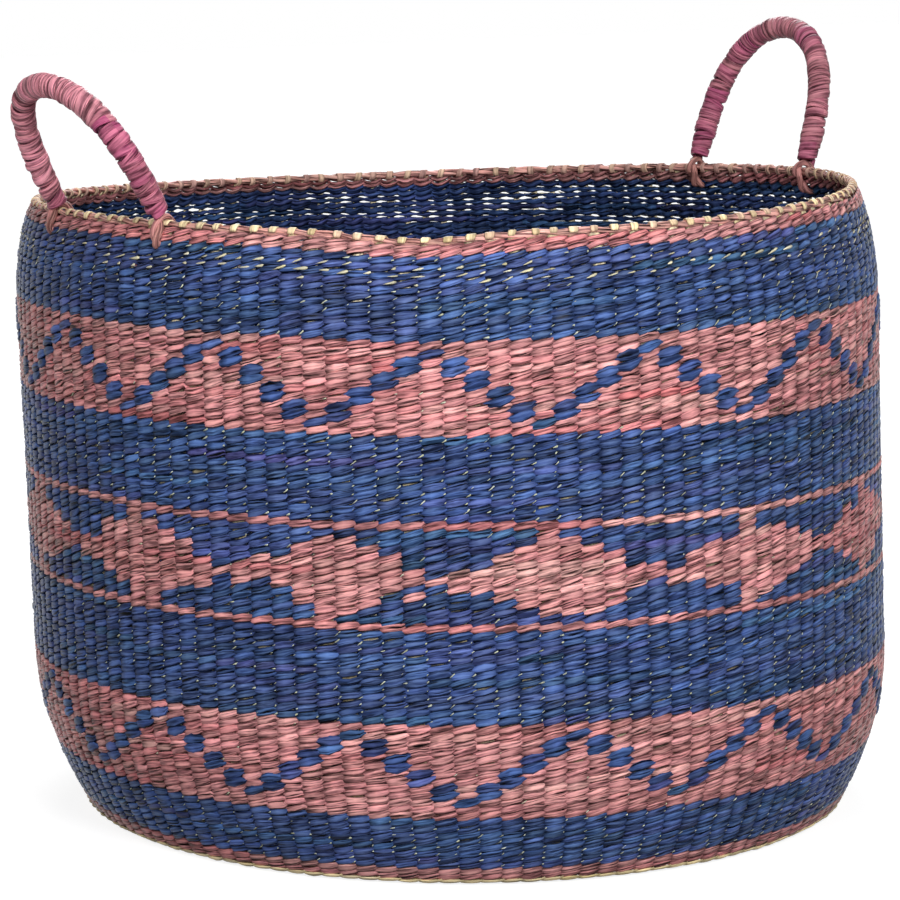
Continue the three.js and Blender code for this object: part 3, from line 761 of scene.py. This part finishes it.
class BASKET_OT_weave_base(bpy.types.Operator):
    """Twine the undyed rings of the base"""

    bl_idname = "basket.weave_base"
    bl_label = "Weave base"

    RINGS = ((0.133, 130), (0.066, 64), (0.033, 32), (0.012, 16), (0, 8))    # least radius, spokes
    SEED = 5000
    SPACING = 1.05                    # of the wall's row pitch
    SUNK = 0.45 * MM
    # The row on the base's turned-up edge; its outside is lightened by painted light, as it faces down
    # into shade
    EDGE_ABOVE, EDGE_PROUD, EDGE_PALER = 0.7 * MM, 0.9 * MM, 1.35
    EDGE_SLANT, EDGE_SHALLOW = 0.6, 0.6
    LAP = 3 * MM                      # of a ring's spokes, under the next ring
    SPOKE_SECTION = ((-1, 0), (0, -1), (1, 0), (0, 1))

    def execute(self, context):
        wall = Wall()
        pitch = self.SPACING * wall.shape.row_pitch
        along = wall.shape.base_edge - pitch / 2
        outer, inner = Strands(), Strands()
        seed = self.SEED
        while (radius := float(wall.radius_at(along))) >= pitch:
            warps = next(count for least, count in self.RINGS if radius >= least)
            shades = straw_shades(np.random.default_rng(seed), warps)
            if seed == self.SEED:
                # The edge row's outside gets the painted light
                weave_row(outer, wall, along + self.EDGE_ABOVE, shades * self.EDGE_PALER, shades, seed,
                          slant=self.EDGE_SLANT, shallow=self.EDGE_SHALLOW, sunk=-self.EDGE_PROUD)
            else:
                strands = outer if warps == self.RINGS[0][1] else inner
                weave_row(strands, wall, along, shades, shades, seed, few=True, shallow=0,
                          sunk=self.SUNK)
            along -= pitch
            seed += 1
        self.lay_spokes(wall)
        outer.build("woven_base", "dry straw", "basket", "natural_weft", "base_disc")
        inner.build("woven_base_middle", "dry straw", "basket", "natural_weft", "base_disc")
        return {"FINISHED"}

    def lay_spokes(self, wall):
        """The straws that the inner rings are twined round: more of them from ring to ring outwards."""
        rng = np.random.default_rng(83)
        strands = Strands()
        for (most, _), (least, count) in zip(self.RINGS, self.RINGS[1:]):
            radius = np.linspace(max(least - self.LAP, 0.2 * MM), most + self.LAP, 8)
            along = np.interp(radius, wall.radius[:3], wall.along[:3])
            for spoke in range(count):
                half = 1.04 * np.pi / count * rng.uniform(0.9, 1.05)
                depth = wall.middle + self.SUNK + rng.uniform(-0.2, 0.2) * MM
                rings = wall.place_straw(warp_bearing(spoke, count), half, along, depth, 0.4 * MM,
                                         self.SPOKE_SECTION)
                strands.add(rings, straw_shades(rng, 1), radius + spoke, closed=False)
        strands.build("base_spokes", "dry straw", "basket", "natural_weft")


class BASKET_OT_lay_warps(bpy.types.Operator):
    """Stand the upright straws inside the wall"""

    bl_idname = "basket.lay_warps"
    bl_label = "Lay warps"

    SECTION = ((-1, 0), (-0.6, -1), (0.6, -1), (1, 0), (0.6, 1), (-0.6, 1))
    FOOT = -0.06                      # where they start, along the base
    STEPS = 62
    PACKED = 0.82                     # of their spacing, where the rows are tight
    PACKED_PAINTED_SHADE = 0.55                     # painted shade: how much darker they are there, deep among the tight rows
    WIDER = 0.28                      # how much wider than most they are at the front
    HALF_THICK = 0.45 * MM
    PALE = (1.15, 1.2, 1.35)          # of straw
    # Slivers: the share of crossings that show one, and in the top band share and size, row by row
    SLIVERS = {"blue": 1.1, "zigzag": 0.08, "diamond": 0.2, "pink": 0.0}
    TOP_SLIVERS = ((0.5, 1.3), (1.0, 2.0), (1.9, 2.6), (1.1, 2.0)) + 7 * ((1.0, 1.0),)
    LARGE = 1.5                       # from this size up they are the palest
    SLIVER_PALE, SLIVER_PALEST = (0.95, 1.2, 1.55), (1.15, 1.3, 1.6)
    # Along a sliver: where its rings stand, of its length, and how wide each is
    SLIVER_AT = np.array([-0.5, -0.1, 0.3, 0.5])
    SLIVER_WIDE = np.array([0.15, 0.7, 1, 0.5])
    SLIVER_SECTION = np.array([(-1, 0), (0, -0.35), (1, 0), (0, 0.35)])
    WALL_RADIUS = 0.21                # about, where they show

    def execute(self, context):
        wall = Wall()
        weave, shape = context.scene.weave, context.scene.basket_shape
        self.lay_slivers(wall, weave.warps)
        rng = np.random.default_rng(77)
        strands = Strands()
        along = np.linspace(self.FOOT, wall.cord - 0.5 * MM, self.STEPS)
        open_from = wall.top - (TOP_ROWS * shape.row_pitch + RIM_ROWS * shape.rim_row_pitch)
        packed = np.clip((open_from - along) / (2 * shape.row_pitch), 0, 1)
        for warp in range(weave.warps):
            bearing = warp_bearing(warp, weave.warps)
            bearing = bearing + warp_drift(bearing, along)
            wider = 1 + self.WIDER * math.cos(bearing[-1] - FRONT)
            half = weave.warp_width / 2 * wider * rng.uniform(0.88, 1.1) / wall.radius_at(along)
            half = half + (np.pi / weave.warps * self.PACKED - half) * packed
            rings = wall.place_straw(bearing, half, along, wall.middle, self.HALF_THICK, self.SECTION)
            # Painted shade on the warps where the rows are tight
            strands.add(rings, straw_shades(rng, 1) * self.PALE, along + warp, closed=False,
                        shade=1 - self.PACKED_PAINTED_SHADE * packed)
        strands.build("warp_straws", "dry straw", "basket", "straw_core")
        return {"FINISHED"}

    def lay_slivers(self, wall, warps):
        """Pale slivers of the warps, which show where a row's two strands cross."""
        rng = np.random.default_rng(91)
        strands = Strands()
        across, out = self.SLIVER_SECTION.T
        for node, pattern, rows in wall.bands():
            for index, along in enumerate(rows):
                share, large = self.SLIVERS[pattern], 1.0
                if node == "wall_blue_top":
                    share, large = self.TOP_SLIVERS[len(rows) - 1 - index]
                paler = self.SLIVER_PALEST if large > self.LARGE else self.SLIVER_PALE
                patches = loose_patches(warps, 3000 + index)
                for warp in np.flatnonzero(rng.random(warps) < share * patches):
                    run = self.SLIVER_AT * (large * rng.uniform(0.8, 3.0) * MM)
                    steep = rng.uniform(0.1, 0.9) / large
                    half = rng.uniform(0.24, 0.6) * MM * math.sqrt(large) * self.SLIVER_WIDE[:, None]
                    bearing = warp_bearing(warp + 0.5 + rng.normal(0, 0.09), warps)
                    bearing = bearing + warp_drift(bearing, along) + run / self.WALL_RADIUS
                    up = along + run * steep + rng.normal(0, 0.25) * MM
                    rings = wall.place(bearing[:, None], up[:, None] + half * across,
                                       (0.8 - 0.2 * large) * MM + half * out)
                    strands.add(rings, straw_shades(rng, 1) * paler, run + warp, closed=False)
        strands.build("warp_slivers", "dry straw", "basket", "straw_core")


class BASKET_OT_bind_rim(bpy.types.Operator):
    """Lay the cord round the rim and fold the warps' ends over it"""

    bl_idname = "basket.bind_rim"
    bl_label = "Bind rim"

    STEPS_A_WARP = 6
    OFFSET, SECTION = 0.45, 0.72      # a strand's middle and radius, of the cord's radius
    WARPS_A_TWIST = 4
    UNEVEN, UNEVEN_WAVES = 0.5, 9     # how the twist speeds up and slows down, so many times round
    PINK_SHARE, STRAW_SHARE = 0.8, 0.16
    WARP_RUN = 10.5 * MM              # of strand, in its map
    ENDS_SECTION = ((-1, 0), (-0.7, 1), (0.7, 1), (1, 0), (0.7, -1), (-0.7, -1))
    ENDS_ABOVE = 0.35 * MM            # clear of the cord
    ENDS_HALF_THICK = 0.3 * MM
    ENDS_STEPS = 11
    TUCKED = 1.6 * MM                 # how far down inside they go
    ENDS_PALE = (1.4, 1.35, 1.35)     # of straw

    def execute(self, context):
        wall = Wall()
        warps = context.scene.weave.warps
        self.lay_cord(wall, warps)
        self.fold_ends(wall, warps)
        return {"FINISHED"}

    def lay_cord(self, wall, warps):
        """The cord is two strands laid side by side with a slow twist."""
        place = np.arange(warps * self.STEPS_A_WARP) / self.STEPS_A_WARP
        bearing = warp_bearing(place, warps)
        offset = self.OFFSET * wall.shape.rim_cord_radius
        section = self.SECTION * wall.shape.rim_cord_radius
        sides = circle(8)
        strands = Strands()
        for strand in (0, 1):
            rng = np.random.default_rng(300 + strand)
            turn = 2 * np.pi * place / self.WARPS_A_TWIST + np.pi * strand
            turn = turn + self.UNEVEN * np.sin(2 * np.pi * place / warps * self.UNEVEN_WAVES)
            depth = wall.middle + offset * np.cos(turn)[:, None] + section * np.cos(sides)
            up = wall.cord + offset * np.sin(turn)[:, None] + section * np.sin(sides)
            shades = (self.PINK_SHARE * pink_shades(rng, warps)
                      + self.STRAW_SHARE * straw_shades(rng, warps))
            shades = shades[np.round(place).astype(int) % warps]
            strands.add(wall.place(bearing[:, None], up, depth), shades, place * self.WARP_RUN + strand,
                        closed=True)
        strands.build("rim_strands", "satin weft", "basket", "rim_cord", "rim_cord")

    def fold_ends(self, wall, warps):
        """Each warp's end comes up outside the cord, goes over it and is tucked down inside."""
        rng = np.random.default_rng(401)
        strands = Strands()
        radius = wall.shape.rim_cord_radius + self.ENDS_ABOVE
        thick = self.ENDS_HALF_THICK
        for warp in range(warps):
            bearing = warp_bearing(warp + rng.normal(0, 0.06), warps)
            bearing += float(warp_drift(bearing, wall.cord))
            far = float(far_side(bearing))
            half = rng.uniform(1.9, 2.5) * MM * (1 - 0.2 * far)
            skew = rng.normal(0.5, 0.25) * MM
            turn = np.linspace(math.radians(rng.uniform(-45, -20)), math.radians(235), self.ENDS_STEPS)
            out = radius + (rng.uniform(0, 0.15) - 0.25 * far) * MM
            depth = wall.middle - out * np.cos(turn)
            up = wall.cord + out * np.sin(turn)
            up = up - np.where(turn > 2, np.clip(-np.sin(turn), 0, None) * self.TUCKED, 0)
            half = half * np.where(turn < 0, 0.8 + 0.2 * (turn - turn[0]) / -turn[0], 1)
            rings = [wall.place(bearing + (side * half + skew * (turn - 1.5) / 1.5) / wall.rim_radius,
                                up + lift * thick * np.sin(turn), depth - lift * thick * np.cos(turn))
                     for side, lift in self.ENDS_SECTION]
            shade = straw_shades(rng, 1)[0] * self.ENDS_PALE
            # More ends are peach on the far side, and that peach is darker there: painted shade
            share = rng.choice([0.05, 0.2, 0.5], p=[0.55, 0.3, 0.15])
            share = share + (rng.uniform(0.55, 1) - share) * far
            shade = shade * (1 - share) + dye_of("peach") * (1 - 0.2 * far) * share
            strands.add(np.stack(rings, axis=1), shade, np.linspace(0, 0.015, self.ENDS_STEPS) + warp,
                        closed=False)
        strands.build("rim_folded_ends", "dry straw", "basket", "straw_core")


class Handle:
    """A handle's own frame, from its hinge: x outwards, y along the hinge line, z up."""

    REACH = 1.5 * MM                  # either side of a point, to find the arch's direction there

    def __init__(self, name, spacing, height, lean):
        hinge = HINGES[name]
        self.name = name
        self.pivot = np.array(hinge["pos_m"])
        self.y = np.array(hinge["axis"]) / np.linalg.norm(hinge["axis"])
        self.x = np.cross(self.y, (0, 0, 1))
        self.x /= np.linalg.norm(self.x)
        self.z = np.cross(self.x, self.y)
        self.lean = lean
        self.half = spacing / 2
        self.sizes = bpy.context.scene.handle_sizes
        turn = np.linspace(-np.pi / 2, np.pi / 2, 4001)
        self.across = self.half * np.sin(turn)
        self.rise = height * np.clip(np.cos(turn), 0, None) ** (2 / self.sizes.arch_fullness)
        self.run = np.concatenate([[0], np.cumsum(np.hypot(np.diff(self.across), np.diff(self.rise)))])

    def from_foot(self, run, reach):
        """0 at the feet, and 1 from that reach along the arch."""
        return np.clip(np.minimum(run, self.run[-1] - run) / reach, 0, 1)

    def outside(self, share):
        """The outside radius, from a foot's at 0 to the full tube's at 1."""
        return self.sizes.foot_radius + (self.sizes.tube_radius - self.sizes.foot_radius) * share

    def at(self, run):
        return np.interp(run, self.run, self.across), np.interp(run, self.run, self.rise)

    def leaning(self, x, y, z):
        """Points given across the leaning arch, put in the basket's frame."""
        cos, sin = math.cos(self.lean), math.sin(self.lean)
        out, up = x * cos + z * sin, z * cos - x * sin
        return self.pivot + out[..., None] * self.x + y[..., None] * self.y + up[..., None] * self.z

    def beside(self, run, turn, radius):
        """Points beside the arch, at an angle from the outside of its bend."""
        run, turn, radius = np.broadcast_arrays(run, turn, radius)
        (y, z), (back_y, back_z), (ahead_y, ahead_z) = (
            self.at(run), self.at(run - self.REACH), self.at(run + self.REACH))
        along_y, along_z = ahead_y - back_y, ahead_z - back_z
        out = radius * np.cos(turn) / np.hypot(along_y, along_z)
        return self.leaning(radius * np.sin(turn), y - out * along_z, z + out * along_y)


def the_handles():
    sizes = bpy.context.scene.handle_sizes
    return (Handle("handle_a", sizes.low_foot_spacing, sizes.low_height, sizes.low_lean),
            Handle("handle_b", sizes.tall_foot_spacing, sizes.tall_height, sizes.tall_lean))


class BASKET_OT_wind_handles(bpy.types.Operator):
    """Wind the two handles with strip over their ropes"""

    bl_idname = "basket.wind_handles"
    bl_label = "Wind handles"

    ROPE_START = 7 * MM               # along the arch, clear of the ties
    ROPE_BELOW = 1.6 * MM             # of the strip's outside
    STRIP_START = 4.4 * MM
    ROPE_SWELL, STRIP_SWELL = 20 * MM, 22 * MM    # of arch, from a foot's radius to the full tube's
    STEPS = 20                        # in a turn of strip
    THICK = 0.75 * MM                 # half the strip's
    OVERLAP = 0.66                    # half the strip's width, of a turn's pitch
    SHOULDER = 0.7                    # of half the section's width and thickness
    EDGE_DROP, UNDER_DROP = 0.9, 1.2  # below its middle, of half its thickness
    # How deep the strip's dye is, from one foot to the other: 1 is magenta and -1 faded; on handle_a's
    # left leg the pale tones are also painted light on its shaded side
    TONES = {
        "handle_a": ((0, 0.7), (0.04, 0.6), (0.08, -0.5), (0.14, -0.8), (0.2, -0.55), (0.3, -0.3),
                     (0.4, -0.35), (0.52, -0.2), (0.6, -0.45), (0.66, -0.6), (0.69, 0.3), (0.72, 0.9),
                     (0.82, 0.65), (0.9, 0.4), (1, 0.95)),
        "handle_b": ((0, 0.8), (0.06, 0.4), (0.2, -0.05), (0.3, 0.05), (0.37, 0.75), (0.43, 0.1),
                     (0.48, -0.5), (0.54, 0.3), (0.62, 0.65), (0.68, 0.4), (0.76, 0.35), (0.8, 0.95),
                     (0.85, 0.55), (1, 0.7)),
    }
    DARKER = {"handle_a": 1, "handle_b": 0.86}
    FADED = (1.48, 1.6, 1.65)         # of mauve
    # How uneven the turns are: their widths, outsides and tilts
    NARROWEST, WIDEST = 0.4, 1.6      # of the average
    OUT_SPREAD = 0.28 * MM
    TILT_SPREAD = 0.95 * MM
    WOBBLE = 0.25 * MM

    def execute(self, context):
        for seed, handle in enumerate(the_handles(), 900):
            self.lay_rope(handle)
            self.wind(handle, seed)
        return {"FINISHED"}

    def lay_rope(self, handle):
        """The straw rope inside, which shows only where the turns part; its very dark dye is painted
        shade for the crevices between the turns.
        """
        run = np.linspace(self.ROPE_START, handle.run[-1] - self.ROPE_START, 90)
        radius = handle.outside(handle.from_foot(run, self.ROPE_SWELL)) - self.ROPE_BELOW
        strands = Strands()
        strands.add(handle.beside(run[:, None], circle(10)[None, :], radius[:, None]),
                    dye_of("magenta") * 0.35, run, closed=False)
        strands.build(handle.name + "_rope", "dry straw", handle.name, "straw_core",
                      handle.name + "_core")

    def wind(self, handle, seed):
        rng = np.random.default_rng(seed)
        turns = handle.sizes.turns
        knots = np.arange(turns + 2)
        start, end = self.STRIP_START, handle.run[-1] - self.STRIP_START
        edges = np.concatenate([[0], np.cumsum(rng.uniform(self.NARROWEST, self.WIDEST, turns + 1))])
        edges = start + edges / edges[-1] * (end - start)
        place = np.arange(turns * self.STEPS + 1) / self.STEPS
        run = np.interp(place, knots, edges) + (edges[1] - edges[0]) / 2
        run = np.minimum(run, end - 0.4 * MM)
        pitch = np.interp(place, knots[:-1] + 0.5, np.diff(edges))
        foot = handle.from_foot(run, self.STRIP_SWELL)
        outer = handle.outside(foot * foot * (3 - 2 * foot))

        def from_turn_to_turn(values):
            return np.interp(place, knots, values)

        outer = outer + from_turn_to_turn(rng.normal(0, self.OUT_SPREAD, turns + 2))
        groove = from_turn_to_turn(rng.uniform(-0.2, 0.75, turns + 2))
        groove_at = from_turn_to_turn(rng.uniform(-0.35, 0.35, turns + 2))
        tilt = from_turn_to_turn(rng.normal(0, self.TILT_SPREAD, turns + 2))
        turn = 2 * np.pi * place + 1.2
        flat = np.ones(len(place))
        shoulder, edge, under = self.SHOULDER * flat, self.EDGE_DROP * flat, self.UNDER_DROP * flat
        across = np.stack([-flat, -shoulder, groove_at, shoulder, flat, 0 * flat], axis=1)
        up = np.stack([-edge, shoulder, 1 - groove, shoulder, -edge, -under], axis=1)
        wobble = tilt * np.sin(turn) + self.WOBBLE * np.sin(turn * 0.37 + seed)
        rings = handle.beside(
            run[:, None] + self.OVERLAP * pitch[:, None] * across + wobble[:, None], turn[:, None],
            outer[:, None] - self.THICK + self.THICK * up)
        dyes = self.strip_dyes(rng, handle, run / handle.run[-1], turns)
        dyes = dyes[np.floor(place + 0.2).astype(int)]
        strands = Strands()
        strands.add(rings, dyes, place * 2 * np.pi * handle.sizes.tube_radius, closed=False,
                    around=AROUND)
        strands.build(handle.name + "_wound_strip", "wound strip", handle.name, "mauve_strip",
                      handle.name + "_winding")

    def strip_dyes(self, rng, handle, share, turns):
        """The strip's dye at each turn: magenta where it was dyed last, paler where it has faded."""
        share = share[np.minimum(np.arange(turns + 2) * self.STEPS, len(share) - 1)]
        tone = np.interp(share, *np.transpose(self.TONES[handle.name])) + rng.normal(0, 0.16, turns + 2)
        deep, pale = np.clip(tone, 0, 1)[:, None], np.clip(-tone, 0, 1)[:, None]
        mauve = dye_of("mauve")
        shades = mauve * (1 - deep - pale) + dye_of("magenta") * deep + mauve * self.FADED * pale
        return shades * rng.uniform(0.82, 1.18, (turns + 2, 1)) * self.DARKER[handle.name]


class BASKET_OT_tie_handles(bpy.types.Operator):
    """Pass a two-ply cord round the rim at each foot of the handles"""

    bl_idname = "basket.tie_handles"
    bl_label = "Tie handles"

    # Of a ply's width: how far its middle swings aside and out, and half its section across and out
    SWING_ASIDE, SWING_OUT = 0.45, 0.2
    HALF_ACROSS, HALF_OUT = 0.54, 0.42
    TWISTS = 2
    CLEAR = 0.46                      # of a ply's width, from the wall to the cord's middle
    ABOVE = 0.7 * MM                  # the folded ends, between the rim's cord and this one
    LOW_ROWS = 0.6                    # how far under the tight rows it goes through, in rows

    def execute(self, context):
        wall = Wall()
        for number, handle in enumerate(the_handles()):
            for side in (0, 1):
                self.tie(wall, handle, side, np.random.default_rng(600 + 2 * side + number))
        return {"FINISHED"}

    def tie(self, wall, handle, side, rng):
        width = handle.sizes.ply_width
        foot = handle.pivot + (2 * side - 1) * handle.half * handle.y
        aside, back = wall.lean(wall.rim_height)
        bearing = math.atan2(foot[1] - back, foot[0] - aside)
        along, depth = self.route(wall, width)
        out_along, out_depth = self.normals(along, depth)
        place = np.arange(len(along)) / len(along)
        sides = circle(8)
        strands = Strands()
        for ply in (0, 1):
            twist = 2 * np.pi * place * self.TWISTS + np.pi * ply
            across = (self.SWING_ASIDE * width * np.cos(twist)[:, None]
                      + self.HALF_ACROSS * width * np.cos(sides))
            out = self.SWING_OUT * width * np.sin(twist)[:, None] + self.HALF_OUT * width * np.sin(sides)
            rings = wall.place(bearing + across / wall.rim_radius,
                               along[:, None] + out * out_along[:, None],
                               depth[:, None] + out * out_depth[:, None])
            share = rng.uniform(0.1, 0.6)
            dye = (dye_of("tie") * (1 - share) + dye_of("pink") * share) * rng.uniform(0.85, 1.1)
            strands.add(rings, dye, place * 40 * MM + ply, closed=True)
        strands.build(f"{handle.name}_cord_{side + 1}", "wound strip", "basket", "tie_cord",
                      f"{handle.name}_tie_{side + 1}")

    def route(self, wall, ply_width):
        """Once round the rim: over the cord, down outside, through the wall and up inside."""
        shape = wall.shape
        clear = self.CLEAR * ply_width
        over = shape.rim_cord_radius + self.ABOVE + clear
        under = wall.middle + clear
        low = wall.top - RIM_ROWS * shape.rim_row_pitch - self.LOW_ROWS * shape.row_pitch + under
        top_turn = np.linspace(0, np.pi, 15)
        low_turn = np.linspace(np.pi, 2 * np.pi, 13)
        sides = np.linspace(0, 1, 7)[1:-1]
        along = np.concatenate([
            wall.cord + over * np.sin(top_turn), wall.cord + (low - wall.cord) * sides,
            low + under * np.sin(low_turn), low + (wall.cord - low) * sides])
        depth = np.concatenate([
            over * np.cos(top_turn), -over - (under - over) * sides,
            under * np.cos(low_turn), under + (over - under) * sides])
        return along, wall.middle + depth

    @staticmethod
    def normals(along, depth):
        """Away from the middle of the loop, square to the route."""
        along_step = np.roll(along, -1) - np.roll(along, 1)
        depth_step = np.roll(depth, -1) - np.roll(depth, 1)
        size = np.hypot(along_step, depth_step)
        return -depth_step / size, along_step / size


def put_facing(name, data, middle, azimuth, elevation, distance):
    """A camera or lamp at that distance from a middle point, turned to look at it."""
    away = Vector((math.sin(azimuth) * math.cos(elevation), -math.cos(azimuth) * math.cos(elevation),
                   math.sin(elevation)))
    made = bpy.data.objects.new(name, data)
    made.location = middle + distance * away
    made.rotation_euler = (-away).to_track_quat("-Z", "Y").to_euler()
    bpy.context.scene.collection.objects.link(made)
    return made


def seen_directly(tree):
    """1 for a ray from the camera, a reflection or clear glass, and 0 for light."""
    ray = add_node(tree, "LightPath", {}).outputs
    total = ray["Is Camera Ray"]
    for kind in ("Is Glossy Ray", "Is Transmission Ray"):
        total = add_node(tree, "Math", {0: total, 1: ray[kind]}, operation="MAXIMUM").outputs[0]
    return total


class BASKET_OT_set_stage(bpy.types.Operator):
    """Set the floor, the lamps and the camera"""

    bl_idname = "basket.set_stage"
    bl_label = "Set stage"

    LAMPS = (    # azimuth from the camera's and elevation in degrees, distance and size in metres, power
        ("key", 20, 26, 1.6, 0.6, 17.6),
        ("fill", -26, 23, 1.6, 0.6, 8),
        ("back", 180, 34, 1.6, 1.0, 16),
        ("top", 37.25, 88, 2.2, 2.0, 11),
    )
    LIT = Vector((0, 0, 0.17))        # where the lamps point
    WHITE = (1, 1, 1, 1)
    FLOOR_GREY = (0.3, 0.3, 0.3, 1)

    def execute(self, context):
        stage = context.scene.stage
        camera = bpy.data.cameras.new("camera")
        camera.lens, camera.sensor_width, camera.shift_x = stage.lens, 36, stage.shift
        target = Vector((stage.target_aside * math.cos(stage.azimuth),
                         stage.target_aside * math.sin(stage.azimuth), stage.target_height))
        context.scene.camera = put_facing("camera", camera, target, stage.azimuth, stage.elevation,
                                          stage.distance)
        for name, aside, elevation, distance, size, power in self.LAMPS:
            lamp = bpy.data.lights.new(name, "AREA")
            lamp.shape, lamp.size, lamp.energy = "DISK", size, power
            put_facing(name, lamp, self.LIT, stage.azimuth + math.radians(aside),
                       math.radians(elevation), distance)
        bpy.ops.object.select_all(action="DESELECT")
        bpy.ops.mesh.primitive_plane_add(size=12)
        floor = context.object
        floor.name = "floor"
        floor.data.materials.append(self.pale_floor())
        self.set_world(context)
        context.scene.view_settings.view_transform = "Standard"
        return {"FINISHED"}

    def pale_floor(self):
        """A pale floor that a camera sees as white, with the basket's shadow kept on it."""
        material = bpy.data.materials.new("pale floor")
        material.use_nodes = True
        tree = material.node_tree
        shader = tree.nodes["Principled BSDF"]
        feed(tree, shader, {"Base Color": self.FLOOR_GREY, "Roughness": 0.9, "Specular IOR Level": 0.1})
        place = add_node(tree, "TexCoord", {}).outputs["Object"]
        away = add_node(tree, "VectorMath", {0: place}, operation="LENGTH").outputs["Value"]
        fade = add_node(tree, "MapRange", {"Value": away, "From Min": 0.3, "From Max": 1.1,
                                           "To Min": 0.85, "To Max": 1}).outputs[0]
        strength = add_node(tree, "Math", {0: fade, 1: seen_directly(tree)}, operation="MULTIPLY")
        glow = add_node(tree, "Emission", {"Strength": strength.outputs[0]})
        both = add_node(tree, "AddShader", {0: shader.outputs[0], 1: glow.outputs[0]})
        feed(tree, tree.nodes["Material Output"], {"Surface": both.outputs[0]})
        return material

    def set_world(self, context):
        world = bpy.data.worlds.new("studio")
        context.scene.world = world
        world.use_nodes = True
        tree = world.node_tree
        plain = tree.nodes["Background"]
        feed(tree, plain, {"Color": self.WHITE, "Strength": 0.04})
        white = add_node(tree, "Background", {"Color": self.WHITE, "Strength": 1})
        mix = add_node(tree, "MixShader", {0: seen_directly(tree), 1: plain.outputs[0],
                                           2: white.outputs[0]})
        feed(tree, tree.nodes["World Output"], {"Surface": mix.outputs[0]})


class BASKET_PT_tools(bpy.types.Panel):
    """The basket's pieces, in the order that they are made."""

    bl_idname = "BASKET_PT_tools"
    bl_label = "Round twined basket"
    bl_space_type = "VIEW_3D"
    bl_region_type = "UI"
    bl_category = "Basket"

    def draw(self, context):
        layout = self.layout
        for operator in OPERATORS:
            layout.operator(operator.bl_idname)
        for settings in SETTINGS:
            owner = getattr(context.scene, settings)
            box = layout.box()
            for name in owner.__annotations__:
                box.prop(owner, name)


SETTINGS = {
    "basket_shape": BasketShape,
    "weave": WeaveSettings,
    "straw_colours": StrawColours,
    "handle_sizes": HandleSettings,
    "stage": StageSettings,
}
OPERATORS = (
    BASKET_OT_weave_wall,
    BASKET_OT_weave_base,
    BASKET_OT_lay_warps,
    BASKET_OT_bind_rim,
    BASKET_OT_wind_handles,
    BASKET_OT_tie_handles,
    BASKET_OT_set_stage,
)


def register():
    for settings in SETTINGS.values():
        bpy.utils.register_class(settings)
    for name, settings in SETTINGS.items():
        setattr(bpy.types.Scene, name, bpy.props.PointerProperty(type=settings))
    for operator in OPERATORS:
        bpy.utils.register_class(operator)
    bpy.utils.register_class(BASKET_PT_tools)


def unregister():
    bpy.utils.unregister_class(BASKET_PT_tools)
    for operator in reversed(OPERATORS):
        bpy.utils.unregister_class(operator)
    for name in SETTINGS:
        delattr(bpy.types.Scene, name)
    for settings in reversed(SETTINGS.values()):
        bpy.utils.unregister_class(settings)


def main():
    register()
    bpy.ops.basket.weave_wall()
    bpy.ops.basket.weave_base()
    bpy.ops.basket.lay_warps()
    bpy.ops.basket.bind_rim()
    bpy.ops.basket.wind_handles()
    bpy.ops.basket.tie_handles()
    bpy.ops.basket.set_stage()


if __name__ == "__main__":
    main()
